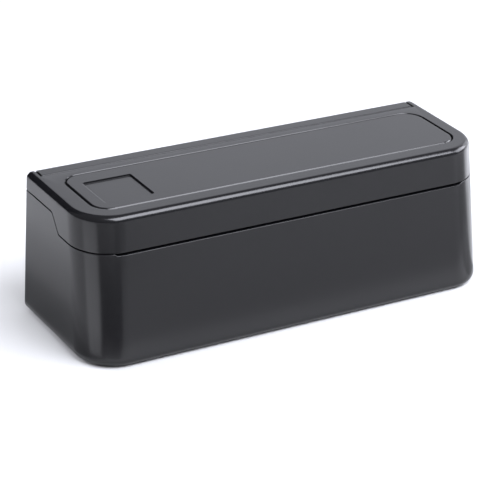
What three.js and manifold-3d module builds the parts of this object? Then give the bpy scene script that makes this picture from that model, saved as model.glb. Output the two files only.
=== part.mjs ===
// Coin box with a hinged lid: a tapered moulded case, a drop-in tray over a block of
// six sprung coin tubes, a guide plate that keeps the top coin of each tube down,
// and a lid that swings about a rod held in the rear rail.
// Millimetres, +Z up, +Y to the rear, origin on the ground at the centre.
import * as THREE from 'three';
import { mergeVertices } from 'three/addons/utils/BufferGeometryUtils.js';
import Module from 'manifold-3d';

const wasm = await Module();
wasm.setup();

// Case: outer form, measured from the underside of the case
const caseHalfLength = 80.15;        // at the underside, before the edge is rounded
const caseFront = -27.72;
const caseBack = 27.28;
const caseHeight = 51.5;
const endDraft = Math.tan(THREE.MathUtils.degToRad(1.41));
const frontDraft = Math.tan(THREE.MathUtils.degToRad(9.36));
const frontCorner = 14.5;            // plan radius of the two front corners
const backCorner = 1.2;
const topEdge = 1.93;                // radius of the lid's upper edge
const topEdgeBack = 1.2;
const bottomEdge = 2.88;
const footProud = 0.4;               // the feet lift the case by this much
const gap = 0.3;                     // between neighbouring pieces

// Parting line between case and lid, seen from the end
const partFront = 39.15;
const partRear = 45.3;
const partLow = new THREE.Vector2(0.67, partFront);
const partHigh = new THREE.Vector2(6.0, partRear);
const partRadius = 1.6;
const nailDrop = 0.6;                // the front rim is lower here, for a fingernail
const nailHalfLength = 68.5;

// Walls and floors
const caseWall = 2;
const caseWallLow = 3.3;             // thicker below the ledge that carries the tray
const ledge = 32.7;
const flangeBottom = 2.5;
const flangeTop = 4.3;
const coverInset = 5.3;
const coverThickness = 2.2;
const lidWall = 2;
const lidCeiling = 48.9;

// Hinge
const axisY = 24.65;
const axisZ = 48.45;
const earRadius = 3.03;
const earInner = 75.9;
const lidEdgeRadius = 4.3;           // the lid's rear edge is hollowed about the axis
const railHalfLength = 75.2;
const railHalfDepth = 2.63;
const rodRadius = 1.1;
const rodBore = 1.4;
const rodHalfLength = 77.3;

// Inlay panel in the lid
const panelMiddle = 0.85;            // the inlay sits a little to the right
const panelHalfLength = 71.8;
const panelFront = -12.33;
const panelBack = 17.67;
const panelCorner = 6.5;
const panelGap = 0.42;
const panelThickness = 1.9;
const badgeCentre = new THREE.Vector2(-56.4, 1.85);
const badgeSide = 17.8;
const badgeDepth = 0.6;

// Coins: one tube for each size, largest at the left
const coinDiameters = [25.75, 24.25, 23.25, 22.25, 21.25, 19.75];
const coinPlay = 0.35;               // added to each coin's radius
const tubeY = 5;
const tubeBottom = 5;
const tubeWall = 1.5;
const trayTop = 41;
const trayDeck = 2;
const trayInset = 2.3;
const traySkirt = 1.5;
const trayHalfLength = 75.4;         // room for the row of tubes between the case ends
const guideFront = -1;
const guideBack = 19.9;
const guideBottom = trayTop + gap;
const guideLip = 43.7;               // the top coin is held down by the lip above this
const guideTop = 45.3;
const guideOverlap = 3.2;            // how far the lip reaches over the coin's edge
const pusherTop = 43.4;
const pusherDisc = 1.6;
const pusherSkirt = 6.4;
const pusherWall = 1.2;
const springRadius = 6.5;            // to the middle of the wire
const springWire = 0.9;
const springTurns = 7;
const spigotRadius = 5;              // stands inside the lowest turns
const spigotTop = 6;

// Small hardware
const coverScrews = [[-69, -17.5], [69, -17.5], [-71.6, 19.4], [71.6, 19.4]];
const pillarRadius = 2.6;
const pillarTop = 11;
const screwHole = 1.35;
const guideScrewY = 16.6;
const footRadius = 4.5;
const footPlaces = [[-58, -13], [58, -13], [-58, 13], [58, 13]];

const material = (color, roughness, metalness = 0) =>
  new THREE.MeshStandardMaterial({ color, roughness, metalness });
const blackPlastic = () => material('#2c2c2f', 0.42);
const innerPlastic = () => material('#3a3b3e', 0.5);
const pusherPlastic = () => material('#6b6d70', 0.45);
const steel = () => material('#a8a9ab', 0.3, 1);
const rubber = () => material('#1d1d1e', 0.85);

const box = new THREE.Group();
box.position.z = footProud;

// ---- helpers -------------------------------------------------------------

function toSolid(geometry) {
  const bare = geometry.clone();
  bare.deleteAttribute('normal');
  bare.deleteAttribute('uv');
  const merged = mergeVertices(bare, 1e-4);
  const mesh = new wasm.Mesh({
    numProp: 3,
    vertProperties: new Float32Array(merged.attributes.position.array),
    triVerts: new Uint32Array(merged.index.array),
  });
  return new wasm.Manifold(mesh);
}

function toGeometry(solid) {
  const mesh = solid.getMesh();
  const geometry = new THREE.BufferGeometry();
  geometry.setAttribute('position', new THREE.BufferAttribute(mesh.vertProperties, 3));
  geometry.setIndex(new THREE.BufferAttribute(mesh.triVerts, 1));
  return geometry;
}

function addPart(name, shape, finish) {
  const geometry = shape instanceof THREE.BufferGeometry ? shape : toGeometry(shape);
  geometry.computeVertexNormals();
  const mesh = new THREE.Mesh(geometry, finish);
  mesh.name = name;
  box.add(mesh);
}

function arc(x, y, radius, from, to, steps) {
  return Array.from({ length: steps + 1 }, (_, i) => {
    const angle = THREE.MathUtils.degToRad(from + ((to - from) * i) / steps);
    return new THREE.Vector2(x + radius * Math.cos(angle), y + radius * Math.sin(angle));
  });
}

// Fillets the inner corners of an open line
function roundedLine(points, radius, steps) {
  const line = [points[0]];
  for (let i = 1; i < points.length - 1; i += 1) {
    const back = points[i - 1].clone().sub(points[i]).normalize();
    const ahead = points[i + 1].clone().sub(points[i]).normalize();
    const half = Math.acos(back.dot(ahead)) / 2;
    const start = points[i].clone().addScaledVector(back, radius / Math.tan(half));
    const end = points[i].clone().addScaledVector(ahead, radius / Math.tan(half));
    const curve = new THREE.QuadraticBezierCurve(start, points[i], end);
    line.push(...curve.getPoints(steps));
  }
  line.push(points[points.length - 1]);
  return line;
}

// A closed skin through rings of equal length, from the lowest ring to the highest
function loft(rings) {
  const count = rings[0].length;
  const position = rings.flat().flatMap((p) => [p.x, p.y, p.z]);
  const index = [];
  for (let r = 0; r < rings.length - 1; r += 1) {
    for (let i = 0; i < count; i += 1) {
      const a = r * count + i;
      const b = r * count + ((i + 1) % count);
      index.push(a, b, b + count, a, b + count, a + count);
    }
  }
  const top = (rings.length - 1) * count;
  for (let i = 1; i < count - 1; i += 1) {
    index.push(0, i + 1, i, top, top + i, top + i + 1);
  }
  const geometry = new THREE.BufferGeometry();
  geometry.setAttribute('position', new THREE.Float32BufferAttribute(position, 3));
  geometry.setIndex(index);
  return toSolid(geometry);
}

// The case's plan outline at a height, moved in by an inset
function outline(z, inset, backInset = inset) {
  const x = caseHalfLength - endDraft * z - inset;
  const front = caseFront + frontDraft * z + inset;
  const back = caseBack - backInset;
  const rf = Math.max(frontCorner - inset, 1);
  const rb = Math.max(backCorner - backInset, 0.3);
  const points = [
    ...arc(x - rf, front + rf, rf, -90, 0, 9),
    ...arc(x - rb, back - rb, rb, 0, 90, 2),
    ...arc(-x + rb, back - rb, rb, 90, 180, 2),
    ...arc(-x + rf, front + rf, rf, 180, 270, 9),
  ];
  return points.map((p) => new THREE.Vector3(p.x, p.y, z));
}

const slab = (inset, low, high) => loft([outline(low, inset), outline(high, inset)]);

// A plan shape pulled up from one height to another
function prism(points, low, high) {
  const geometry = new THREE.ExtrudeGeometry(new THREE.Shape(points), {
    depth: high - low,
    bevelEnabled: false,
    curveSegments: 1,
  });
  geometry.translate(0, 0, low);
  return toSolid(geometry);
}

// A shape drawn in the end view (Y, Z) and pulled along X
function bar(points, from, to) {
  const geometry = new THREE.ExtrudeGeometry(new THREE.Shape(points), {
    depth: to - from,
    bevelEnabled: false,
    curveSegments: 1,
  });
  geometry.translate(0, 0, from);
  geometry.applyMatrix4(new THREE.Matrix4().makeBasis(
    new THREE.Vector3(0, 1, 0),
    new THREE.Vector3(0, 0, 1),
    new THREE.Vector3(1, 0, 0),
  ));
  return toSolid(geometry);
}

function block(x0, x1, y0, y1, z0, z1) {
  const geometry = new THREE.BoxGeometry(x1 - x0, y1 - y0, z1 - z0);
  geometry.translate((x0 + x1) / 2, (y0 + y1) / 2, (z0 + z1) / 2);
  return toSolid(geometry);
}

function post(x, y, radius, low, high, sides = 24) {
  const geometry = new THREE.CylinderGeometry(radius, radius, high - low, sides);
  geometry.rotateX(Math.PI / 2);
  geometry.translate(x, y, (low + high) / 2);
  return toSolid(geometry);
}

// A turned piece, its profile given as [radius, height] from the axis round to the axis
function turned(profile, x, y, sides) {
  const geometry = new THREE.LatheGeometry(profile.map((p) => new THREE.Vector2(...p)), sides);
  geometry.rotateX(Math.PI / 2);
  geometry.translate(x, y, 0);
  return toSolid(geometry);
}

function roundedRectangle(x0, x1, y0, y1, radius, steps) {
  return [
    ...arc(x1 - radius, y0 + radius, radius, -90, 0, steps),
    ...arc(x1 - radius, y1 - radius, radius, 0, 90, steps),
    ...arc(x0 + radius, y1 - radius, radius, 90, 180, steps),
    ...arc(x0 + radius, y0 + radius, radius, 180, 270, steps),
  ];
}

const joined = (solids) => solids.reduce((sum, solid) => sum.add(solid));
const cutBy = (solid, tools) => tools.reduce((left, tool) => left.subtract(tool), solid);

// ---- shared shapes -------------------------------------------------------

function caseForm() {
  const rings = [];
  for (let i = 0; i <= 4; i += 1) {
    const t = (i * Math.PI) / 8;
    rings.push(outline(bottomEdge * (1 - Math.cos(t)), bottomEdge * (1 - Math.sin(t))));
  }
  for (let i = 0; i <= 4; i += 1) {
    const t = (i * Math.PI) / 8;
    const drop = topEdge * (1 - Math.sin(t));
    const inset = 1 - Math.cos(t);
    rings.push(outline(caseHeight - drop, topEdge * inset, topEdgeBack * inset));
  }
  return loft(rings);
}

// Everything above the parting line, moved along the line's normal by shift
function abovePart(shift) {
  const slope = partHigh.clone().sub(partLow).angle();
  const back = shift * Math.tan(slope / 2);
  const line = roundedLine([
    new THREE.Vector2(-60, partFront + shift),
    new THREE.Vector2(partLow.x - back, partFront + shift),
    new THREE.Vector2(partHigh.x - back, partRear + shift),
    new THREE.Vector2(60, partRear + shift),
  ], partRadius, 4);
  line.push(new THREE.Vector2(60, 80), new THREE.Vector2(-60, 80));
  return bar(line, -100, 100);
}

const bores = coinDiameters.map((d) => d / 2 + coinPlay);
const tubeGap = (2 * trayHalfLength - 2 * bores.reduce((a, b) => a + b)) / (bores.length + 1);
const tubeX = bores.map((bore, i) => {
  const before = bores.slice(0, i).reduce((a, b) => a + 2 * b + tubeGap, 0);
  return -trayHalfLength + tubeGap + before + bore;
});
const guideScrewX = [0, 2, 4].map((i) => (tubeX[i] + bores[i] + tubeX[i + 1] - bores[i + 1]) / 2);

// ---- case ----------------------------------------------------------------

function caseShell() {
  const hollow = loft([
    outline(flangeTop, caseWallLow),
    outline(ledge, caseWallLow),
    outline(ledge + 0.01, caseWall),
    outline(caseHeight + 5, caseWall),
  ]);
  const pillars = coverScrews.map(([x, y]) => post(x, y, pillarRadius, flangeBottom, pillarTop, 20));
  const holes = coverScrews.map(([x, y]) => post(x, y, screwHole, -1, pillarTop - 1.5, 16));
  const nail = block(-nailHalfLength, nailHalfLength, -60, -5,
    partFront - gap / 2 - nailDrop, caseHeight);
  return cutBy(
    cutBy(caseForm(), [
      hollow,
      slab(8, flangeBottom - 1, flangeTop + 1),
      slab(coverInset - gap, -1, flangeBottom),
      abovePart(-gap / 2),
      nail,
    ]).add(joined(pillars)),
    holes,
  );
}

function bottomCover() {
  const spigots = tubeX.map((x) => post(x, tubeY, spigotRadius, coverThickness - 0.5, spigotTop, 20));
  const sinks = coverScrews.map(([x, y]) => post(x, y, 2.5, -1, 1.1, 20));
  const holes = coverScrews.map(([x, y]) => post(x, y, screwHole, -1, 10, 16));
  const sockets = footPlaces.map(([x, y]) => post(x, y, footRadius + 0.3, -1, 0.85, 24));
  const plate = slab(coverInset, 0, coverThickness).add(joined(spigots));
  return cutBy(plate, [...sinks, ...holes, ...sockets]);
}

const coverScrewProfile = [[0, 0.15], [1.6, 0.15], [2.1, 0.5], [2.1, 0.9], [1.05, 0.9],
  [1.05, 8], [0, 8.8]];
const guideScrewProfile = [[0, 33], [0.95, 34], [0.95, 44.4], [2, 44.4], [2, 44.8],
  [1.5, 45.15], [0, 45.15]];

// ---- coin tray, guide, pushers and springs -------------------------------

const coinBores = () => tubeX.map((x, i) => post(x, tubeY, bores[i], 0, 60, 32));
const screwBores = () => guideScrewX.map((x) => post(x, guideScrewY, screwHole, 32, 60, 16));

function coinTray() {
  const skirt = slab(trayInset, ledge + gap, trayTop - trayDeck + 0.5)
    .subtract(slab(trayInset + traySkirt, ledge - 1, trayTop - trayDeck + 1));
  const deck = slab(trayInset, trayTop - trayDeck, trayTop);
  return cutBy(deck.add(skirt), [...coinBores(), ...screwBores()]);
}

// The six tubes share their walls, and carry the bosses for the guide's screws
function tubeBlock() {
  const top = trayTop - trayDeck - gap;
  const tubes = tubeX.map((x, i) => post(x, tubeY, bores[i] + tubeWall, tubeBottom, top, 32));
  const bosses = guideScrewX.map((x) => post(x, guideScrewY, 2.4, tubeBottom, top, 16));
  const webs = guideScrewX.map((x) => block(x - 1, x + 1, tubeY + 4, guideScrewY, tubeBottom, top));
  const form = joined([...tubes, ...bosses, ...webs])
    .intersect(slab(trayInset + traySkirt + gap, tubeBottom - 1, top + 1));
  return cutBy(form, [...coinBores(), ...screwBores()]);
}

// A channel with a round rear end, open to the front
function channel(x, radius, low, high) {
  const points = [
    ...arc(x, tubeY, radius, 0, 180, 18),
    new THREE.Vector2(x - radius, guideFront - 1),
    new THREE.Vector2(x + radius, guideFront - 1),
  ];
  return prism(points, low, high);
}

function coinGuide() {
  const body = prism(
    roundedRectangle(-trayHalfLength + 0.2, trayHalfLength - 0.2, guideFront, guideBack, 0.9, 3),
    guideBottom,
    guideTop,
  );
  const coins = tubeX.map((x, i) => channel(x, bores[i], guideBottom - 1, guideLip));
  const thumbs = tubeX.map((x, i) => channel(x, bores[i] - guideOverlap, guideBottom, guideTop + 1));
  const sinks = guideScrewX.map((x) => post(x, guideScrewY, 2.3, 44.2, 60, 16));
  const holes = guideScrewX.map((x) => post(x, guideScrewY, screwHole, 40, 60, 16));
  return cutBy(body, [...coins, ...thumbs, ...sinks, ...holes]);
}

function pusher(x, radius) {
  const low = pusherTop - pusherDisc - pusherSkirt;
  const inner = radius - pusherWall;
  return turned([
    [0, pusherTop - pusherDisc], [inner, pusherTop - pusherDisc], [inner, low], [radius, low],
    [radius, pusherTop - 0.5], [radius - 0.5, pusherTop], [0, pusherTop],
  ], x, tubeY, 30);
}

// A compression spring as a wire swept along its helix
function coilSpring(x) {
  const low = coverThickness + gap + springWire / 2;
  const high = pusherTop - pusherDisc - gap - springWire / 2;
  class Helix extends THREE.Curve {
    getPoint(t, target = new THREE.Vector3()) {
      const turn = t * springTurns * 2 * Math.PI;
      return target.set(
        x + springRadius * Math.cos(turn),
        tubeY + springRadius * Math.sin(turn),
        low + (high - low) * t,
      );
    }
  }
  const wire = new THREE.Shape(arc(0, 0, springWire / 2, 0, 288, 4));
  return toSolid(new THREE.ExtrudeGeometry(wire, {
    steps: springTurns * 8,
    extrudePath: new Helix(),
    curveSegments: 1,
  }));
}

// ---- rear rail and lid ---------------------------------------------------

function hingeRail() {
  const front = axisY - railHalfDepth;
  const back = axisY + railHalfDepth;
  const onCase = partRear - gap / 2 + gap;
  const section = [
    new THREE.Vector2(front, guideBottom),
    new THREE.Vector2(front + 1.2, guideBottom),
    new THREE.Vector2(front + 1.2, axisZ),
    ...arc(axisY, axisZ, rodBore, 180, 0, 8),
    new THREE.Vector2(axisY + rodBore, onCase),
    new THREE.Vector2(back, onCase),
    ...arc(back - 0.8, caseHeight - 0.8, 0.8, 0, 90, 3),
    ...arc(front + 0.4, caseHeight - 0.4, 0.4, 90, 180, 2),
  ];
  return bar(section, -railHalfLength, railHalfLength);
}

function hingeRod() {
  return bar(arc(axisY, axisZ, rodRadius, 0, 337.5, 15), -rodHalfLength, rodHalfLength);
}

// The middle of the line round the inlay, moved outwards by grow
const panelPlan = (grow, steps) => roundedRectangle(
  panelMiddle - panelHalfLength - grow,
  panelMiddle + panelHalfLength + grow,
  panelFront - grow,
  panelBack + grow,
  panelCorner + grow,
  steps,
);

function lidShell() {
  const form = caseForm();
  const hollow = loft([
    outline(20, lidWall),
    outline(lidCeiling - 1, lidWall),
    outline(lidCeiling - 0.3, lidWall + 0.3),
    outline(lidCeiling, lidWall + 1),
  ]);
  const earFront = axisY - earRadius - 1.5;
  const ears = [-1, 1].map((side) => form.intersect(block(
    side < 0 ? -90 : earInner, side < 0 ? -earInner : 90, earFront, 40, partFront, 80)));
  const rib = block(-75.2, 75.2, 18.2, 20.2, partRear + 0.7, lidCeiling + 0.2);
  const pocket = prism(
    panelPlan(panelGap / 2, 6),
    caseHeight - panelThickness - 0.1,
    80,
  );
  // round the rail and the rod: the lid's rear edge, and the underside of each ear
  const railSweep = bar([
    new THREE.Vector2(60, 80),
    new THREE.Vector2(axisY + lidEdgeRadius * Math.cos(2.36), 80),
    ...arc(axisY, axisZ, lidEdgeRadius, 135, 225, 8),
    new THREE.Vector2(axisY - 3.2, 20),
    new THREE.Vector2(60, 20),
  ], -earInner, earInner);
  const earUnder = bar([
    ...arc(axisY, axisZ, earRadius, 0, -90, 6),
    new THREE.Vector2(axisY, 20),
    new THREE.Vector2(60, 20),
    new THREE.Vector2(60, axisZ),
  ].reverse(), -100, 100);
  const rodHoles = bar(arc(axisY, axisZ, rodBore, 0, 342, 19), -77.6, 77.6);
  const shell = form.subtract(hollow).add(rib).subtract(railSweep).add(joined(ears));
  return cutBy(shell.intersect(abovePart(gap / 2)), [pocket, earUnder, rodHoles]);
}

function lidPanel() {
  const half = badgeSide / 2;
  const plate = prism(
    panelPlan(-panelGap / 2, 8),
    caseHeight - panelThickness + 0.2,
    caseHeight,
  );
  return plate.subtract(block(badgeCentre.x - half, badgeCentre.x + half,
    badgeCentre.y - half, badgeCentre.y + half, caseHeight - badgeDepth, 80));
}

// ---- assembly ------------------------------------------------------------

addPart('case_shell', caseShell(), blackPlastic());
addPart('bottom_cover', bottomCover(), blackPlastic());
addPart('coin_tray', coinTray(), innerPlastic());
addPart('tube_block', tubeBlock(), innerPlastic());
addPart('coin_guide', coinGuide(), innerPlastic());
addPart('hinge_rail', hingeRail(), blackPlastic());
addPart('hinge_rod', hingeRod(), steel());
addPart('lid_shell', lidShell(), blackPlastic());
addPart('lid_panel', lidPanel(), blackPlastic());
tubeX.forEach((x, i) => {
  addPart(`coin_pusher_${i + 1}`, pusher(x, coinDiameters[i] / 2 - 0.1), pusherPlastic());
  addPart(`coin_spring_${i + 1}`, coilSpring(x), steel());
});
coverScrews.forEach(([x, y], i) => {
  addPart(`cover_screw_${i + 1}`, turned(coverScrewProfile, x, y, 16), steel());
});
guideScrewX.forEach((x, i) => {
  addPart(`guide_screw_${i + 1}`, turned(guideScrewProfile, x, guideScrewY, 16), steel());
});
footPlaces.forEach(([x, y], i) => {
  const foot = [[0, -footProud], [footRadius - 0.4, -footProud], [footRadius, 0], [footRadius, 0.6],
    [0, 0.6]];
  addPart(`foot_${i + 1}`, turned(foot, x, y, 24), rubber());
});

export default box;
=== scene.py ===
import math

import bpy
import numpy as np
from mathutils import Matrix, Vector


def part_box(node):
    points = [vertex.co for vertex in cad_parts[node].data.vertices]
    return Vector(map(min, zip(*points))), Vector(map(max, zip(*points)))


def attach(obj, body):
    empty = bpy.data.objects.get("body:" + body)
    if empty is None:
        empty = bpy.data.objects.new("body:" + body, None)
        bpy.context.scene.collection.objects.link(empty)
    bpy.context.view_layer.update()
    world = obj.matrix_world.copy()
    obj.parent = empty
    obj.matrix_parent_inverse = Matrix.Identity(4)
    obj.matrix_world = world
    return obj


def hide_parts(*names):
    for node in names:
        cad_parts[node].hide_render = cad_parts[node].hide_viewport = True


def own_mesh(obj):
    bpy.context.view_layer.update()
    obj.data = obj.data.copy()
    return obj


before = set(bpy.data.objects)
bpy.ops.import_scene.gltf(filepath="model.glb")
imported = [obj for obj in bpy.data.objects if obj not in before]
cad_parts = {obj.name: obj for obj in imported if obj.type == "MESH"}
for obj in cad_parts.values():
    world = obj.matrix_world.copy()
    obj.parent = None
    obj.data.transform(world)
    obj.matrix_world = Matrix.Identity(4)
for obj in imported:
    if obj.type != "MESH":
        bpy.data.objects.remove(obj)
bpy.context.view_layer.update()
mm = 0.001
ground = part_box("case_shell")[0].z / mm  # the feet lift the case by this much
print("frame loaded, case stands", round(ground, 2), "mm up")


def linear(hexColour):
    # each sRGB channel goes through the standard curve
    channels = [int(hexColour[i:i + 2], 16) / 255 for i in (1, 3, 5)]
    return [c / 12.92 if c < 0.04045 else ((c + 0.055) / 1.055) ** 2.4 for c in channels] + [1.0]


def addNode(tree, kind, settings=None, inputs=None):
    node = tree.nodes.new(kind)
    for key, value in (settings or {}).items():
        setattr(node, key, value)
    for key, value in (inputs or {}).items():
        if isinstance(value, bpy.types.NodeSocket):
            tree.links.new(value, node.inputs[key])
        else:
            node.inputs[key].default_value = value
    return node


def gridFaces(rows, columns, closeRows=False):
    # quads between neighbouring rows, the columns running round and closing on themselves
    r = np.arange(rows if closeRows else rows - 1)[:, None]
    c = np.arange(columns)[None, :]
    nextRow, nextColumn = (r + 1) % rows, (c + 1) % columns
    quads = np.stack([r * columns + c, r * columns + nextColumn,
                      nextRow * columns + nextColumn, nextRow * columns + c], axis=-1)
    return quads.reshape(-1, 4).tolist()


def newPiece(name, grid, closeRows=False, creaseAngle=32):
    # grid[row, column] holds points in mm above the case's underside; open ends get flat caps
    rows, columns = grid.shape[:2]
    points = grid.reshape(-1, 3) + [0, 0, ground]
    faces = gridFaces(rows, columns, closeRows)
    if not closeRows:
        faces.append(list(range(columns))[::-1])
        faces.append(list(range((rows - 1) * columns, rows * columns)))
    mesh = bpy.data.meshes.new(name)
    mesh.from_pydata((points * mm).tolist(), [], faces)
    piece = bpy.data.objects.new(name, mesh)
    bpy.context.scene.collection.objects.link(piece)
    if signedVolume(mesh) < 0:
        mesh.flip_normals()
    finishSurface(piece, creaseAngle)
    return piece


def signedVolume(mesh):
    # sum over the triangles of a . (b x c) / 6: positive where the faces point out
    mesh.calc_loop_triangles()
    co = np.empty(len(mesh.vertices) * 3)
    mesh.vertices.foreach_get("co", co)
    tri = np.empty(len(mesh.loop_triangles) * 3, int)
    mesh.loop_triangles.foreach_get("vertices", tri)
    a, b, c = (co.reshape(-1, 3)[tri.reshape(-1, 3)[:, i]] for i in range(3))
    return float((a * np.cross(b, c)).sum() / 6)


def finishSurface(piece, creaseAngle=32):
    mesh = piece.data
    mesh.polygons.foreach_set("use_smooth", np.ones(len(mesh.polygons), bool))
    mesh.set_sharp_from_angle(angle=math.radians(creaseAngle))


def carve(piece, tools, operation="DIFFERENCE"):
    # cuts with, or joins to, each tool in turn, and keeps only the resulting mesh
    for tool in tools:
        change = piece.modifiers.new("carve", "BOOLEAN")
        change.operation, change.object, change.solver = operation, tool, "EXACT"
        graph = bpy.context.evaluated_depsgraph_get()
        result = bpy.data.meshes.new_from_object(piece.evaluated_get(graph))
        piece.modifiers.clear()
        piece.data = result
        bpy.data.objects.remove(tool)
    finishSurface(piece)
    return piece


def settle(piece, material, body, slot, *nodes):
    # shading weighted by face area keeps flats flat and leaves the bend to the rounded edges
    even = piece.modifiers.new("even", "WEIGHTED_NORMAL")
    even.mode, even.weight, even.keep_sharp = "FACE_AREA", 50, True
    graph = bpy.context.evaluated_depsgraph_get()
    result = bpy.data.meshes.new_from_object(piece.evaluated_get(graph))
    piece.modifiers.clear()
    piece.data = result
    piece.data.materials.clear()
    piece.data.materials.append(material)
    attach(piece, body)
    if nodes:
        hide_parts(*nodes)
    return piece


# sizes in mm, heights above the case's underside; the outline is drafted, so it shrinks upwards
case = {
    "halfLength": 80.15, "front": -27.72, "back": 27.28, "height": 51.5,
    "endDraft": math.tan(math.radians(1.41)), "frontDraft": math.tan(math.radians(9.36)),
    "cornerFront": 14.5, "cornerBack": 1.2,
    "topEdge": 1.93, "topEdgeBack": 1.2, "bottomEdge": 2.88,
    "partFront": 39.15, "partRear": 45.3, "rampLow": 0.67, "rampHigh": 6.0, "rampSoft": 0.6,
    "gap": 0.3, "nailDrop": 0.6, "nailHalfLength": 68.5, "rimEdge": 0.18,
    "wall": 2.0, "wallLow": 3.3, "innerEdge": 0.2, "ledge": 32.7, "flangeLow": 2.5, "flangeHigh": 4.3,
    "coverEdge": 5.0, "floorEdge": 8.0,
    "guard": 0.4,  # a row this far from a rounded edge keeps the flat beside it flat
}

# columns round the outline: which stretch each lies on, and how far along it
cornerStops = np.linspace(0, 1, 48, endpoint=False)
smallStops = np.linspace(0, 1, 6, endpoint=False)
longStops = np.linspace(0, 1, 24, endpoint=False)
endStops = np.concatenate([np.linspace(0, 0.16, 6), np.linspace(0.17, 0.46, 44), np.linspace(0.48, 0.98, 14)])
stretches = [longStops, cornerStops, endStops, smallStops, longStops, smallStops,
             np.concatenate([[0], 1 - endStops[:0:-1]]), cornerStops]
stretch = np.concatenate([np.full(len(t), i) for i, t in enumerate(stretches)])
along = np.concatenate(stretches)


def roundedPlan(halfX, front, back, cornerFront, cornerBack, z):
    # a rectangle with arcs at its corners: straight stretches run linearly, arcs by sine and cosine
    halfX, front, back, cornerFront, cornerBack, z = (
        np.broadcast_to(np.asarray(v, float), stretch.shape)
        for v in (halfX, front, back, cornerFront, cornerBack, z))
    turn = along * math.pi / 2
    sine, cosine = np.sin(turn), np.cos(turn)
    longFront, longBack = halfX - cornerFront, halfX - cornerBack
    lowY, highY = front + cornerFront, back - cornerBack
    x = np.choose(stretch, [
        longFront * (2 * along - 1), longFront + cornerFront * sine, halfX,
        longBack + cornerBack * cosine, longBack * (1 - 2 * along), -longBack - cornerBack * sine,
        -halfX, -longFront - cornerFront * cosine])
    y = np.choose(stretch, [
        front, lowY - cornerFront * cosine, lowY + (highY - lowY) * along,
        highY + cornerBack * sine, back, highY + cornerBack * cosine,
        highY + (lowY - highY) * along, lowY - cornerFront * sine])
    return np.stack([x, y, z], axis=-1)


def caseRing(z, inset, backInset=None):
    # the drafted outline at a height, moved in by an inset
    backInset = inset if backInset is None else backInset
    return roundedPlan(
        case["halfLength"] - case["endDraft"] * z - inset, case["front"] + case["frontDraft"] * z + inset,
        case["back"] - backInset, np.maximum(case["cornerFront"] - inset, 1),
        np.maximum(case["cornerBack"] - backInset, 0.3), z)


def partingHeight(y, shift):
    # low in front, high at the rear, with a ramp between whose ends are softened by parabolas
    low, high, soft = case["rampLow"], case["rampHigh"], case["rampSoft"]
    rise = (case["partRear"] - case["partFront"]) / (high - low)
    y = y + shift * math.tan(math.atan(rise) / 2)  # keeps the gap even on the ramp

    def softStep(u):
        return np.where(u < -soft, 0, np.where(u > soft, u, (u + soft) ** 2 / (4 * soft)))

    return case["partFront"] + shift + rise * (softStep(y - low) - softStep(y - high))


def edgeHeight(shift, nail=0.0):
    # the height of the parting line at each column, found by a few rounds because the wall leans
    z = np.full(stretch.shape, case["partFront"])
    for _ in range(12):
        points = caseRing(z, 0)
        z = partingHeight(points[:, 1], shift)
    inNail = np.clip(case["nailHalfLength"] + 0.5 - np.abs(points[:, 0]), 0, 1) * (points[:, 1] < -10)
    return z - nail * inNail * inNail * (3 - 2 * inNail)


def quarter(steps):
    # sine and 1 - cosine pairs from 0 to 90 degrees
    turn = np.linspace(0, math.pi / 2, steps + 1)
    return list(zip(np.sin(turn), 1 - np.cos(turn)))


plastics = {
    # injection-moulded ABS, spark-eroded tool: satin black, grey only where it mirrors something bright;
    # the tool's grain is drawn a little coarser than it is, so that it shows
    "satinBlackAbs": {"colour": "#0f0f11", "roughness": 0.21, "spread": 0.04, "grainMm": 0.5, "bump": 0.05},
    # the inlay is moulded in a finer tool, so its gloss is a touch tighter
    "fineBlackAbs": {"colour": "#0f0f11", "roughness": 0.20, "spread": 0.04, "grainMm": 0.4, "bump": 0.035},
    # glass-filled polypropylene of the tray: dark grey, duller, faint flow marks
    "greyPolypropylene": {
        "colour": "#2b2c2f", "roughness": 0.48, "spread": 0.08, "grainMm": 0.8, "bump": 0.08},
    # acetal pushers: pale grey and waxy, polished by coins
    "paleAcetal": {"colour": "#8f9194", "roughness": 0.36, "spread": 0.10, "grainMm": 0.6, "bump": 0.04},
    # soft moulded rubber: nearly no gloss
    "mattRubber": {"colour": "#1a1a1a", "roughness": 0.85, "spread": 0.06, "grainMm": 0.3, "bump": 0.15},
}
plasticIor = 1.45  # polymers lie between 1.4 and 1.6
cloudMm = 22  # size of the faint clouds where the gloss varies


def newMaterial(name):
    material = bpy.data.materials.new(name)
    material.use_nodes = True
    tree = material.node_tree
    return material, tree, tree.nodes["Principled BSDF"]


def noise(tree, size, detail=2.0, roughness=0.5):
    # cloudy noise on the object's own coordinates, its patches about this many mm across
    place = addNode(tree, "ShaderNodeTexCoord").outputs["Object"]
    return addNode(tree, "ShaderNodeTexNoise", None, {
        "Vector": place, "Scale": 1 / (size * mm), "Detail": detail, "Roughness": roughness}).outputs["Fac"]


def glossRange(tree, choice, pattern):
    # the roughness wanders evenly about its middle value
    middle, half = choice["roughness"], choice["spread"] / 2
    return addNode(tree, "ShaderNodeMapRange", None, {
        "Value": pattern, "From Min": 0.3, "From Max": 0.7,
        "To Min": middle - half, "To Max": middle + half}).outputs["Result"]


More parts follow.
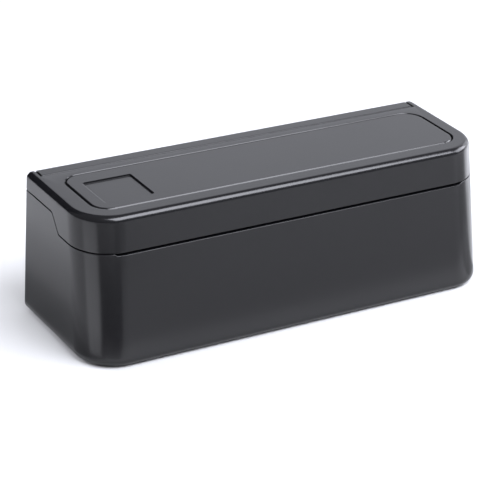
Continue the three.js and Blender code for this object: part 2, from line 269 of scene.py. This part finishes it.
def mouldedPlastic(name):
    # the grain darkens and lightens the colour a little and stands up as bump; clouds vary the gloss
    choice = plastics[name]
    material, tree, shader = newMaterial(name)
    grain = noise(tree, choice["grainMm"], 3.0, 0.6)
    dull = glossRange(tree, choice, noise(tree, cloudMm))
    base = linear(choice["colour"])[:3]
    darker, lighter = [c * 0.86 for c in base] + [1], [c * 1.12 for c in base] + [1]
    tint = addNode(tree, "ShaderNodeMix", {"data_type": "RGBA"}, {0: grain, 6: darker, 7: lighter})
    bump = addNode(tree, "ShaderNodeBump", None,
                   {"Height": grain, "Strength": choice["bump"], "Distance": 0.05 * mm})
    tree.links.new(tint.outputs[2], shader.inputs["Base Color"])
    tree.links.new(dull, shader.inputs["Roughness"])
    tree.links.new(bump.outputs["Normal"], shader.inputs["Normal"])
    shader.inputs["IOR"].default_value = plasticIor
    return material


metals = {
    # hard-drawn spring wire and rod: bright, with fine marks left by the die
    "drawnSpringWire": {"colour": "#b9babd", "roughness": 0.28, "spread": 0.12, "markMm": 0.35},
    # zinc-plated screws: pale, faintly blue and cloudy
    "zincPlate": {"colour": "#bcc0c4", "roughness": 0.36, "spread": 0.14, "markMm": 1.2},
}


def workedMetal(name):
    # one pattern of marks varies the gloss and stands up as bump
    choice = metals[name]
    material, tree, shader = newMaterial(name)
    marks = noise(tree, choice["markMm"])
    dull = glossRange(tree, choice, marks)
    bump = addNode(tree, "ShaderNodeBump", None,
                   {"Height": marks, "Strength": 0.1, "Distance": 0.03 * mm})
    tree.links.new(dull, shader.inputs["Roughness"])
    tree.links.new(bump.outputs["Normal"], shader.inputs["Normal"])
    shader.inputs["Base Color"].default_value = linear(choice["colour"])
    shader.inputs["Metallic"].default_value = 1.0
    return material


satinBlackAbs = mouldedPlastic("satinBlackAbs")
fineBlackAbs = mouldedPlastic("fineBlackAbs")
greyPolypropylene = mouldedPlastic("greyPolypropylene")
paleAcetal = mouldedPlastic("paleAcetal")
mattRubber = mouldedPlastic("mattRubber")
drawnSpringWire = workedMetal("drawnSpringWire")
zincPlate = workedMetal("zincPlate")
print("materials made")


def turnedPiece(name, x, y, profile, sides=64):
    # the profile's radii and heights carried once round the axis
    profile = np.asarray(profile, float)
    angle = np.linspace(0, 2 * math.pi, sides, endpoint=False)
    grid = np.stack([
        x + profile[:, :1] * np.cos(angle), y + profile[:, :1] * np.sin(angle),
        np.broadcast_to(profile[:, 1:], (len(profile), sides))], axis=-1)
    return newPiece(name, grid)


def barPiece(name, section, stations):
    # an outline in the end view (Y, Z) carried along X
    section, stations = np.asarray(section, float), np.asarray(stations, float)
    grid = np.empty((len(stations), len(section), 3))
    grid[..., 0] = stations[:, None]
    grid[..., 1:] = section
    return newPiece(name, grid)


def arcPoints(x, y, radius, start, end, steps):
    turn = np.radians(np.linspace(start, end, steps + 1))
    return np.stack([x + radius * np.cos(turn), y + radius * np.sin(turn)], axis=-1)


def makeCase():
    # rings of the outline, from the underside up the inside, over the rim and down the outside
    rim = edgeHeight(-case["gap"] / 2, case["nailDrop"])
    edge, inner, guard, low = case["rimEdge"], case["innerEdge"], case["guard"], case["bottomEdge"]
    rings = [caseRing(z, inset) for z, inset in [
        (0.0, low + 1.5 * guard), (0.0, case["coverEdge"]), (case["flangeLow"], case["coverEdge"]),
        (case["flangeLow"], case["floorEdge"]), (case["flangeHigh"], case["floorEdge"]),
        (case["flangeHigh"], case["wallLow"]), (case["ledge"], case["wallLow"]),
        (case["ledge"], case["wall"]), (case["ledge"] + 0.5, case["wall"])]]
    rings.append(caseRing(rim - inner - guard, case["wall"]))
    rings += [caseRing(rim - inner + inner * s, case["wall"] - inner * c) for s, c in quarter(3)]
    rings += [caseRing(rim - edge * c, edge * (1 - s)) for s, c in quarter(5)]
    rings.append(caseRing(rim - edge - guard, 0.0))
    rings.append(caseRing(np.full(stretch.shape, low + 1.5 * guard), 0.0))
    rings += [caseRing(low * (1 - s), low * c) for s, c in quarter(8)]
    return newPiece("case_moulding", np.stack(rings), closeRows=True)


pillar = {"radius": 2.6, "edge": 0.3, "top": 11.0, "pilotRadius": 1.35, "pilotTop": 9.5}


def makePillar(x, y):
    # stands on the flange and takes a screw
    radius, top, edge = pillar["radius"], pillar["top"], pillar["edge"]
    return turnedPiece("pillar", x, y, [
        (radius, case["flangeLow"] + 0.05), (radius, top - edge), (radius - edge, top)])


def makePilot(x, y):
    # the screw's hole, through the flange into the pillar
    radius = pillar["pilotRadius"]
    return turnedPiece("pilot", x, y, [(radius, -1), (radius, pillar["pilotTop"])], 24)


def middleOf(name):
    # where the middle of a solid stands, in mm
    low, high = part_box(name)
    return (low.x + high.x) / 2 / mm, (low.y + high.y) / 2 / mm


screwPlaces = [middleOf(f"cover_screw_{number}") for number in range(1, 5)]
caseMoulding = makeCase()
carve(caseMoulding, [makePillar(x, y) for x, y in screwPlaces], "UNION")
carve(caseMoulding, [makePilot(x, y) for x, y in screwPlaces])
settle(caseMoulding, satinBlackAbs, "case", "case_plastic", "case_shell")
print("case made")


lid = {
    "wall": 2.0, "ceiling": 48.9, "ceilingEdge": 1.0, "lowEdge": 0.2,
    "pocketMiddle": 0.85, "pocketHalfLength": 72.01, "pocketFront": -12.54, "pocketBack": 17.88,
    "pocketCorner": 6.71, "pocketFloor": 49.5, "pocketEdge": 0.24, "pocketSoft": 0.04,
    "axisY": 24.65, "axisZ": 48.45, "edgeRadius": 4.2, "earRadius": 3.03, "earInner": 75.9,
    "earFront": 20.12, "earBack": 27.1, "earThickness": 1.6, "rodHole": 1.4, "rodHoleEnd": 77.6,
    "ribFront": 18.2, "ribBack": 20.2, "ribLow": 46.0, "ribHalfLength": 75.2,
    "sweepMouth": 3.6, "sweepLip": 3.28, "sweepThroat": 3.16, "sweepLow": 3.2,
    "sweepFrom": 138.5, "sweepTo": 225,
    "topGuard": 0.45, "edgeGuard": 0.35,  # rows beside the rounded edges that keep the flats flat
}


def pocketRing(z, outset):
    corner = lid["pocketCorner"] + outset
    plan = roundedPlan(lid["pocketHalfLength"] + outset, lid["pocketFront"] - outset,
                       lid["pocketBack"] + outset, corner, corner, z)
    return plan + [lid["pocketMiddle"], 0, 0]


def makeLid():
    # rings from the pocket's floor, out over the top and down the wall, then up the inside to the ceiling
    height, top, topBack = case["height"], case["topEdge"], case["topEdgeBack"]
    low, topGuard, edgeGuard = edgeHeight(case["gap"] / 2), lid["topGuard"], lid["edgeGuard"]
    edge, soft, small, wall = lid["pocketEdge"], lid["pocketSoft"], lid["lowEdge"], lid["wall"]
    ceiling, fillet = lid["ceiling"], lid["ceilingEdge"]
    rings = [pocketRing(lid["pocketFloor"], 0), pocketRing(height - edge - 0.3, 0)]
    # a 45 degree chamfer with softened ends
    chamfer = [(0, edge + soft), (0.3 * soft, edge), (0.7 * soft, edge - 0.7 * soft)]
    mirrored = [step[::-1] for step in chamfer[::-1]]
    rings += [pocketRing(height - drop, outset) for outset, drop in chamfer + mirrored]
    rings.append(pocketRing(height, edge + edgeGuard))
    rings.append(caseRing(height, top + topGuard, topBack + topGuard))
    rings += [caseRing(height - top * c, top * (1 - s), topBack * (1 - s)) for s, c in quarter(10)]
    rings.append(caseRing(height - top - topGuard, 0.0))
    rings.append(caseRing(low + small + edgeGuard, 0.0))
    rings += [caseRing(low + small * (1 - s), small * c) for s, c in quarter(4)]
    rings += [caseRing(low + small * c, wall - small * (1 - s)) for s, c in quarter(3)]
    rings.append(caseRing(np.full(stretch.shape, ceiling - fillet), wall))
    rings += [caseRing(ceiling - fillet * (1 - s), wall + fillet * c) for s, c in quarter(4)]
    return newPiece("lid_moulding", np.stack(rings))


def makeLidTools():
    # the room that the rail needs, hollowed about the axis; the ears' round undersides; the rod's holes
    y, z, height, mouth = lid["axisY"], lid["axisZ"], case["height"], lid["axisY"] - lid["sweepMouth"]
    behind, above, below = 60, 80, 20  # well outside the lid
    flare = [(behind, above), (mouth, above), (mouth, height),
             (y - lid["sweepLip"], height - 0.02), (y - lid["sweepThroat"], height - 0.1)]
    hollow = arcPoints(y, z, lid["edgeRadius"], lid["sweepFrom"], lid["sweepTo"], 14)
    foot = [(y - lid["sweepLow"], below), (behind, below)]
    railSweep = barPiece("railSweep", np.concatenate([flare, hollow, foot]),
                         [-lid["earInner"], lid["earInner"]])
    under = arcPoints(y, z, lid["earRadius"], 0, -90, 12)
    corner = [(y, below), (behind, below), (behind, z)]
    earUnder = barPiece("earUnder", np.concatenate([under, corner]), [-100, 100])
    rodHoles = barPiece("rodHoles", arcPoints(y, z, lid["rodHole"], 0, 345, 23),
                        [-lid["rodHoleEnd"], lid["rodHoleEnd"]])
    return railSweep, earUnder, rodHoles


def makeEar(side):
    # a pad that thickens the end wall from the hinge's front to the back
    inner, outer = lid["earInner"], lid["earInner"] + lid["earThickness"]
    front, back = lid["earFront"], lid["earBack"]
    low, high = case["partRear"] + case["gap"] / 2, case["height"] - 0.2
    section = [(front, low), (back, low), (back, high), (front, high)]
    return barPiece("ear", section, sorted([side * inner, side * outer]))


def makeLidRib():
    # closes the lid's space towards the hinge
    front, back, low, high = lid["ribFront"], lid["ribBack"], lid["ribLow"], lid["ceiling"] + 0.2
    section = [(front, low), (back, low), (back, high), (front, high)]
    return barPiece("rib", section, [-lid["ribHalfLength"], lid["ribHalfLength"]])


lidMoulding = makeLid()
carve(lidMoulding, [makeLidRib(), makeEar(-1), makeEar(1)], "UNION")
carve(lidMoulding, makeLidTools())
settle(lidMoulding, satinBlackAbs, "lid", "lid_plastic", "lid_shell")
print("lid made")


panel = {
    "middle": 0.85, "halfLength": 71.59, "front": -12.12, "back": 17.46, "corner": 6.29,
    "thickness": 1.7, "chamfer": 0.36, "soft": 0.05, "guard": 0.45,
    "badgeX": -56.4, "badgeY": 1.85, "badgeSide": 17.8, "badgeDepth": 0.6, "badgeCorner": 0.5,
    "badgeEdge": 0.15, "badgeRamp": 0.7,
}


def panelRing(z, inset):
    corner = panel["corner"] - inset
    plan = roundedPlan(panel["halfLength"] - inset, panel["front"] + inset, panel["back"] - inset,
                       corner, corner, z)
    return plan + [panel["middle"], 0, 0]


def makePanel():
    # a 45 degree chamfer, softened where it meets the top and the side
    top, chamfer, soft = case["height"], panel["chamfer"], panel["soft"]
    steps = [(chamfer + panel["guard"], 0), (chamfer + soft, 0), (chamfer, 0.3 * soft),
             (chamfer - 0.7 * soft, 0.7 * soft)]
    mirrored = [step[::-1] for step in steps[:0:-1]]
    rings = [panelRing(top - drop, inset) for inset, drop in steps + mirrored]
    rings += [panelRing(top - panel["thickness"] + 0.2, 0), panelRing(top - panel["thickness"], 0.2)]
    return newPiece("lid_panel_inlay", np.stack(rings))


def badgeRing(z, outset, ramp=0.0):
    # the ramp moves the left side outwards, less and less towards the right side
    half, corner = panel["badgeSide"] / 2 + outset, panel["badgeCorner"] + outset
    ring = roundedPlan(half, panel["badgeY"] - half, panel["badgeY"] + half, corner, corner, z)
    ring[:, 0] += panel["badgeX"] - ramp * (1 - ring[:, 0] / half) / 2
    return ring


def makeBadgeTool():
    # flat floor, upright walls with a small rounded edge, and a shallow ramp up to the left
    top, edge, ramp = case["height"], panel["badgeEdge"], panel["badgeRamp"]
    floor = top - panel["badgeDepth"]
    rings = [badgeRing(floor, -0.2), badgeRing(floor + 0.06, -0.06), badgeRing(floor + 0.2, 0),
             badgeRing(top - 0.28, 0), badgeRing(top - 0.15, 0, 0.47 * ramp),
             badgeRing(top - 0.3 * edge, 0.3 * edge, 0.83 * ramp), badgeRing(top, edge, ramp),
             badgeRing(top + 2, edge + 0.001, ramp + 0.001)]
    return newPiece("badgeTool", np.stack(rings))


panelInlay = makePanel()
carve(panelInlay, [makeBadgeTool()])
settle(panelInlay, fineBlackAbs, "lid", "panel_plastic", "lid_panel")
print("panel made")


rail = {
    "halfDepth": 2.63, "leg": 1.2, "legLow": 41.3, "seat": 1.4, "rearLow": 45.45,
    "backEdge": 0.8, "frontEdge": 0.4,
    "shorter": 0.15,  # a hair short of the solid, so that the gaps at its ends read
    "lipBack": 2.6, "lipDepth": 1.2, "lipLow": 45.5, "lipGap": 0.15,
}


def makeRail():
    # an inverted channel, flush with the lid, that holds the rod
    y, z, half, top = lid["axisY"], lid["axisZ"], rail["halfDepth"], case["height"]
    backEdge, frontEdge, seat = rail["backEdge"], rail["frontEdge"], rail["seat"]
    section = np.concatenate([
        [(y - half, rail["legLow"]), (y - half + rail["leg"], rail["legLow"])],
        arcPoints(y, z, seat, 180, 0, 16), [(y + seat, rail["rearLow"]), (y + half, rail["rearLow"])],
        arcPoints(y + half - backEdge, top - backEdge, backEdge, 0, 90, 8),
        arcPoints(y - half + frontEdge, top - frontEdge, frontEdge, 90, 180, 6)])
    section[2, 0] = y - half + rail["leg"]  # the leg runs straight up to the rod's seat
    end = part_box("hinge_rail")[1].x / mm - rail["shorter"]
    return barPiece("hinge_rail_moulding", section, np.linspace(-end, end, 9))


def makeRailLip():
    # a thin lip along the rear that runs closer to the ears and shuts the gaps off from behind
    back, top, end = lid["axisY"] + rail["lipBack"], case["height"], lid["earInner"] - rail["lipGap"]
    front, low = back - rail["lipDepth"], rail["lipLow"]
    section = [(front, low), (back, low), (back, top - 0.85), (front, top - 0.25)]
    return barPiece("railLip", section, [-end, end])


railMoulding = carve(makeRail(), [makeRailLip()], "UNION")
settle(railMoulding, satinBlackAbs, "case", "case_plastic", "hinge_rail")
print("rail made")


tray = {"top": 41.0, "deck": 2.0, "inset": 2.3, "skirt": 1.5, "skirtLow": 33.0, "edge": 0.4,
        "tubeY": 5.0, "play": 0.45, "mouth": 0.4, "screwY": 16.6, "screwHole": 1.35}
pusherBoxes = [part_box(f"coin_pusher_{number}") for number in range(1, 7)]
tubeX = [middleOf(f"coin_pusher_{number}")[0] for number in range(1, 7)]
pusherRadius = [(high.y - low.y) / 2 / mm for low, high in pusherBoxes]
boreRadius = [radius + tray["play"] for radius in pusherRadius]
guideScrewX = [middleOf(f"guide_screw_{number}")[0] for number in range(1, 4)]


def makeTray():
    # rings from the deck over its rounded edge, down the skirt and up inside it
    top, edge, inset, low = tray["top"], tray["edge"], tray["inset"], tray["skirtLow"]
    inner = inset + tray["skirt"]
    rings = [caseRing(top, inset + edge + case["guard"])]
    rings += [caseRing(top - edge * c, inset + edge * (1 - s)) for s, c in quarter(4)]
    rings += [caseRing(low + 0.2, inset), caseRing(low, inset + 0.2), caseRing(low, inner),
              caseRing(top - tray["deck"], inner)]
    return newPiece("coin_tray_moulding", np.stack(rings))


def boreTool(x, radius):
    # a bore whose mouth opens in a small chamfer
    top, mouth = tray["top"], tray["mouth"]
    profile = [(radius, 20), (radius, top + 0.05 - mouth),
               (radius + mouth, top + 0.05), (radius + mouth, top + 4)]
    return turnedPiece("bore", x, tray["tubeY"], profile, 96)


def screwBore(x, low, high, radius):
    # a plain round hole on the guide screws' line
    return turnedPiece("screwBore", x, tray["screwY"], [(radius, low), (radius, high)], 32)


coinTray = makeTray()
carve(coinTray, [boreTool(x, r) for x, r in zip(tubeX, boreRadius)]
      + [screwBore(x, 20, 60, tray["screwHole"]) for x in guideScrewX])
settle(coinTray, greyPolypropylene, "case", "tray_plastic", "coin_tray")


guide = {"low": 41.3, "lip": 43.7, "top": 45.3, "front": -1.0, "back": 19.9, "halfLength": 75.2,
         "corner": 0.9, "edge": 0.35, "overlap": 3.2, "sink": 44.2, "sinkRadius": 2.3}


def makeGuide():
    # a plate with a rounded upper edge
    half, front, back, corner = guide["halfLength"], guide["front"], guide["back"], guide["corner"]
    low, top, edge = guide["low"], guide["top"], guide["edge"]

    def ring(z, inset):
        return roundedPlan(half - inset, front + inset, back - inset, corner - inset, corner - inset, z)

    rings = [ring(top, 2 * edge)]
    rings += [ring(top - edge * c, edge * (1 - s)) for s, c in quarter(4)]
    rings += [ring(low + 0.1, 0), ring(low, 0.1)]
    return newPiece("coin_guide_moulding", np.stack(rings))


def channelTool(x, radius, levels):
    # a round rear end carried straight out to the front, at each height with its own outset
    turn = np.linspace(0, math.pi, 49)
    grid = []
    for z, outset in levels:
        wide = radius + outset
        side = np.stack([x + wide * np.cos(turn), tray["tubeY"] + wide * np.sin(turn)], axis=-1)
        plan = np.concatenate([side, [(x - wide, guide["front"] - 3), (x + wide, guide["front"] - 3)]])
        grid.append(np.column_stack([plan, np.full(len(plan), z)]))
    return newPiece("channel", np.stack(grid))


coinGuide = makeGuide()
guideTop = guide["top"]
wideChannel = [(guide["low"] - 1, 0), (guide["lip"], 0)]
narrowChannel = [(guide["low"] + 1, 0), (guideTop - 0.5, 0), (guideTop - 0.15, 0.18),
                 (guideTop + 0.05, 0.55), (guideTop + 1, 0.55)]
carve(coinGuide, [channelTool(x, r, wideChannel) for x, r in zip(tubeX, boreRadius)]
      + [channelTool(x, r - guide["overlap"], narrowChannel) for x, r in zip(tubeX, boreRadius)]
      + [screwBore(x, guide["sink"], 60, guide["sinkRadius"]) for x in guideScrewX]
      + [screwBore(x, 30, 60, tray["screwHole"]) for x in guideScrewX])
settle(coinGuide, greyPolypropylene, "case", "tray_plastic", "coin_guide")
print("tray and guide made")

pusher = {"top": 43.4, "disc": 1.6, "skirt": 6.4, "wall": 1.2, "dish": 0.25, "edge": 0.5}


def makePusher(number, x, radius):
    # a cup turned upside down, its top slightly dished, its rim rounded
    top, under = pusher["top"], pusher["top"] - pusher["disc"]
    foot, inner = under - pusher["skirt"], radius - pusher["wall"]
    bottom, edge = top - pusher["dish"], pusher["edge"]
    dished = [(0.02 * radius, bottom), (0.35 * radius, bottom),
              (0.42 * radius, top - 0.08), (0.5 * radius, top)]
    rimEdge = [(radius - edge * (1 - s), top - edge * c) for s, c in quarter(5)]
    skirt = [(radius, foot + 0.3), (radius - 0.3, foot), (inner + 0.2, foot), (inner, foot + 0.2)]
    hollow = [(inner, under - 0.8), (inner - 0.8, under), (0.1, under)]
    profile = dished + rimEdge + skirt + hollow
    return turnedPiece(f"coin_pusher_cup_{number}", x, tray["tubeY"], profile, 96)


spring = {"radius": 6.5, "wire": 0.9, "turns": 9.5, "low": 2.5, "top": 41.5, "travel": 30.0}


def makeSpring(number, x):
    # a round wire on a helix: the first and the last turn lie nearly flat, the others rise evenly
    steps, sides = 300, 10
    wire, flat = spring["wire"] / 2, 1 / spring["turns"]
    low, high = spring["low"] + wire, spring["top"] - wire
    lay = spring["wire"] * 0.9  # the first and the last turn each rise by this much
    t = np.linspace(0, 1, steps)
    first, last = np.clip(t / flat, 0, 1), np.clip((t - 1 + flat) / flat, 0, 1)
    rise = np.clip((t - flat) / (1 - 2 * flat), 0, 1)
    z = low + lay * first + (high - low - 2 * lay) * rise + lay * last
    turn = t * spring["turns"] * 2 * math.pi
    around = np.linspace(0, 2 * math.pi, sides, endpoint=False)
    out = spring["radius"] + wire * np.cos(around)[None, :]
    grid = np.stack([x + out * np.cos(turn)[:, None], tray["tubeY"] + out * np.sin(turn)[:, None],
                     z[:, None] + wire * np.sin(around)[None, :]], axis=-1)
    return newPiece(f"coin_spring_wire_{number}", grid, creaseAngle=60)


for number, (x, radius) in enumerate(zip(tubeX, pusherRadius), start=1):
    cup = makePusher(number, x, radius)
    settle(cup, paleAcetal, f"pusher_{number}", "pusher_plastic", f"coin_pusher_{number}")
    wire = settle(makeSpring(number, x), drawnSpringWire, "case", "spring_steel", f"coin_spring_{number}")
    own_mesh(wire)
print("pushers and springs made")


screws = {
    "cover": {"face": 0.15, "down": -1, "profile": [
        (0.05, 0.15), (1.5, 0.15), (1.9, 0.3), (2.1, 0.55), (2.1, 0.9), (1.05, 0.95),
        (1.05, 8.0), (0.05, 8.8)]},
    "guide": {"face": 45.15, "down": 1, "profile": [
        (0.05, 33), (0.95, 34), (0.95, 44.35), (2.0, 44.4), (2.0, 44.75), (1.8, 45.0),
        (1.4, 45.15), (0.05, 45.15)]},
    "cross": {"arm": 1.15, "thickness": 0.22, "depth": 0.6, "taper": 0.62},
}


def crossTool(x, y, face, down, turned):
    # one arm of the driver's cross, narrowing towards the tip
    cross = screws["cross"]
    arm, thickness = cross["arm"], cross["thickness"]
    corners = np.array([(-1, -1), (1, -1), (1, 1), (-1, 1)], float)
    plan = corners * ([thickness, arm] if turned else [arm, thickness])
    levels = [(face + down, 1.0), (face, 1.0), (face - down * cross["depth"], cross["taper"])]
    grid = np.stack([np.column_stack([plan * size + [x, y], np.full(4, z)]) for z, size in levels])
    return newPiece("cross", grid)


def makeScrew(kind, name, x, y):
    # a turned screw with a cross cut into its head
    form = screws[kind]
    piece = turnedPiece(name, x, y, form["profile"], 40)
    return carve(piece, [crossTool(x, y, form["face"], form["down"], turned) for turned in (False, True)])


for number, (x, y) in enumerate(screwPlaces, start=1):
    screw = makeScrew("cover", f"cover_screw_zinc_{number}", x, y)
    settle(screw, zincPlate, "case", "screw_steel", f"cover_screw_{number}")
for number, x in enumerate(guideScrewX, start=1):
    screw = makeScrew("guide", f"guide_screw_zinc_{number}", x, tray["screwY"])
    settle(screw, zincPlate, "case", "screw_steel", f"guide_screw_{number}")

foot = {"edge": 0.35}


def makeFoot(number):
    # a turned pad with a rounded tread
    low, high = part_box(f"foot_{number}")
    x, y = middleOf(f"foot_{number}")
    radius, edge = (high.y - low.y) / 2 / mm, foot["edge"]
    bottom, top = low.z / mm - ground, high.z / mm - ground
    tread = [(radius - edge * (1 - s), bottom + edge * c) for s, c in quarter(4)]
    return turnedPiece(f"foot_pad_{number}", x, y, [(0.1, bottom)] + tread + [(radius, top), (0.1, top)], 64)


for number in range(1, 5):
    settle(makeFoot(number), mattRubber, "case", "foot_rubber", f"foot_{number}")
print("screws and feet made")

# three solids keep their own shape and get their material here
for name, material in {"bottom_cover": satinBlackAbs, "tube_block": greyPolypropylene,
                       "hinge_rod": drawnSpringWire}.items():
    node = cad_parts[name]
    node.data.materials.clear()
    node.data.materials.append(material)


studio = {
    "floorColour": "#bfbfbf", "air": "#f4f6ff", "world": 0.32, "overcast": 1.2,
    "key": {"towards": (0.24, -0.55, 0.80), "distance": 0.95, "size": (0.82, 0.62), "radiance": 11.5},
    "rightKey": {"towards": (0.86, -0.18, 0.46), "distance": 0.90, "size": (0.62, 0.36), "radiance": 8.0},
    "backCard": {"towards": (0.587, 0.700, 0.407), "distance": 0.90, "size": (0.80, 0.60), "radiance": 0.95},
    "edgeCard": {"towards": (0.165, 0.006, 0.030), "distance": 0.168, "size": (0.065, 0.10), "radiance": 2.2},
    "leftFill": {"towards": (-0.30, 0.28, 0.12), "distance": 0.42, "size": (0.20, 0.20), "radiance": 14.0},
    "sideFlag": {"towards": (-0.258, 0.80, 0.42), "distance": 0.70, "size": (0.80, 0.78)},
}

# cards on the floor that only glossy faces see: each is a fan about a point, in metres, between two turns
# in degrees from straight ahead and two reaches
leftCorner, rightCorner, endPoint, rearPoint = (-0.075, -0.022), (0.0655, -0.013), (0.10, 0.02), (0.03, 0.30)
floorCards = {
    "cornerCard": {"corner": leftCorner, "from": -49, "to": 9, "reach": (0.020, 0.300), "colour": "#606060"},
    "ridgeCard": {"corner": leftCorner, "from": -92, "to": -53, "reach": (0.016, 0.420), "colour": "#fafafa"},
    "rightCard": {"corner": rightCorner, "from": 50, "to": 80, "reach": (0.020, 0.300), "colour": "#909090"},
    "sideCard": {"corner": rightCorner, "from": 84, "to": 112, "reach": (0.020, 0.130), "colour": "#e6e6e6"},
    "endCardNear": {
        "corner": endPoint, "from": -110, "to": -72, "reach": (0.193, 0.207), "colour": "#868686"},
    "endCardFar": {
        "corner": endPoint, "from": -110, "to": -72, "reach": (0.207, 0.226), "colour": "#a5a5a5"},
    "skirtCard": {"corner": (0.02, 0.30), "from": -11, "to": 4, "reach": (0.55, 0.78), "colour": "#747474"},
    "frontNearCard": {
        "corner": rearPoint, "from": -20, "to": 20, "reach": (0.353, 0.383), "colour": "#d9d9d9"},
    "frontCard": {
        "corner": rearPoint, "from": -24, "to": 24, "reach": (0.385, 0.74), "colour": "#acacac",
        "lift": 0.0006},
}


def cardBoard(name, colour):
    # dull card without gloss
    card = bpy.data.materials.new(name)
    card.use_nodes = True
    shader = card.node_tree.nodes["Principled BSDF"]
    shader.inputs["Base Color"].default_value = linear(colour)
    shader.inputs["Roughness"].default_value = 1.0
    shader.inputs["Specular IOR Level"].default_value = 0.0
    return card


def makeFloor():
    size, count = 6.0, 9  # metres each way, points along a side
    steps = np.linspace(-size, size, count)
    gridX, gridY = np.meshgrid(steps, steps)
    points = np.stack([gridX, gridY, np.zeros_like(gridX)], axis=-1).reshape(-1, 3)
    faces = [(r * count + c, r * count + c + 1, (r + 1) * count + c + 1, (r + 1) * count + c)
             for r in range(count - 1) for c in range(count - 1)]
    mesh = bpy.data.meshes.new("floor")
    mesh.from_pydata(points.tolist(), [], faces)
    floor = bpy.data.objects.new("floor", mesh)
    bpy.context.scene.collection.objects.link(floor)
    mesh.materials.append(cardBoard("paleCard", studio["floorColour"]))


def aim(thing, towards, distance):
    direction = Vector(towards).normalized()
    thing.location = direction * distance + Vector((0, 0, 0.025))
    thing.rotation_mode = "QUATERNION"
    thing.rotation_quaternion = direction.to_track_quat("Z", "Y")


def makeSoftbox(name, glossy=True, diffuse=True):
    choice = studio[name]
    light = bpy.data.lights.new(name, "AREA")
    light.shape = "RECTANGLE"
    light.size, light.size_y = choice["size"]
    light.energy = choice["radiance"] * math.pi * light.size * light.size_y
    light.color = linear(studio["air"])[:3]
    softbox = bpy.data.objects.new(name, light)
    bpy.context.scene.collection.objects.link(softbox)
    aim(softbox, choice["towards"], choice["distance"])
    softbox.visible_camera, softbox.visible_glossy, softbox.visible_diffuse = False, glossy, diffuse


def makeOvercast():
    # an even, shadowless wash from straight above, which keeps the whole floor pale
    light = bpy.data.lights.new("overcast", "SUN")
    light.energy, light.angle = studio["overcast"], math.radians(120)
    wash = bpy.data.objects.new("overcast", light)
    bpy.context.scene.collection.objects.link(wash)
    wash.visible_glossy = False


def makeFlag(name, corners, material):
    # a card that only glossy faces see, as a studio uses to darken an edge
    mesh = bpy.data.meshes.new(name)
    mesh.from_pydata(corners, [], [(0, 1, 2, 3)])
    flag = bpy.data.objects.new(name, mesh)
    bpy.context.scene.collection.objects.link(flag)
    mesh.materials.append(material)
    flag.visible_camera = flag.visible_diffuse = flag.visible_shadow = False
    return flag


def makeSideFlag():
    choice = studio["sideFlag"]
    width, height = choice["size"]
    corners = np.array([(-1, -1, 0), (1, -1, 0), (1, 1, 0), (-1, 1, 0)]) * [width / 2, height / 2, 0]
    flag = makeFlag("sideFlag", corners.tolist(), cardBoard("blackFlock", "#020202"))
    aim(flag, choice["towards"], choice["distance"])


def makeFloorCard(name):
    choice = floorCards[name]
    x, y = choice["corner"]
    near, far = choice["reach"]
    corners = []
    for reach, side in ((near, "from"), (near, "to"), (far, "to"), (far, "from")):
        turn = math.radians(choice[side])
        corners.append((x + reach * math.sin(turn), y - reach * math.cos(turn), choice.get("lift", 0.001)))
    makeFlag(name, corners, cardBoard(name + "Paper", choice["colour"]))


def makeWorld():
    world = bpy.data.worlds.new("studioAir")
    world.use_nodes = True
    sky = world.node_tree.nodes["Background"]
    sky.inputs["Color"].default_value = linear(studio["air"])
    sky.inputs["Strength"].default_value = studio["world"]
    bpy.context.scene.world = world
    bpy.context.scene.view_settings.view_transform = "Standard"


# place in mm, angles in degrees, lens in mm
camera = {"place": (-355.35, -584.42, 344.69), "turn": 30.92, "tilt": 25.55, "roll": 2.3, "lens": 154.58}


def makeCamera():
    # stands at the front left, looks down at the box and leans a little
    data = bpy.data.cameras.new("camera")
    data.lens, data.sensor_width = camera["lens"], 36.0
    data.clip_start, data.clip_end = 0.01, 20.0
    eye = bpy.data.objects.new("camera", data)
    bpy.context.scene.collection.objects.link(eye)
    turn, tilt = math.radians(camera["turn"]), math.radians(camera["tilt"])
    ahead = Vector((math.sin(turn) * math.cos(tilt), math.cos(turn) * math.cos(tilt), -math.sin(tilt)))
    right = Vector((math.cos(turn), -math.sin(turn), 0.0))
    up = right.cross(ahead)
    lean = math.radians(camera["roll"])
    leanRight = right * math.cos(lean) + up * math.sin(lean)
    leanUp = up * math.cos(lean) - right * math.sin(lean)
    eye.matrix_world = Matrix((leanRight, leanUp, -ahead)).transposed().to_4x4()
    eye.location = Vector(camera["place"]) * mm
    bpy.context.scene.camera = eye


makeFloor()
makeSoftbox("key")
makeSoftbox("backCard")
makeSoftbox("rightKey")
makeSoftbox("edgeCard", diffuse=False)
makeSoftbox("leftFill", glossy=False)
makeOvercast()
makeSideFlag()
for name in floorCards:
    makeFloorCard(name)
makeWorld()
makeCamera()
print("studio made")
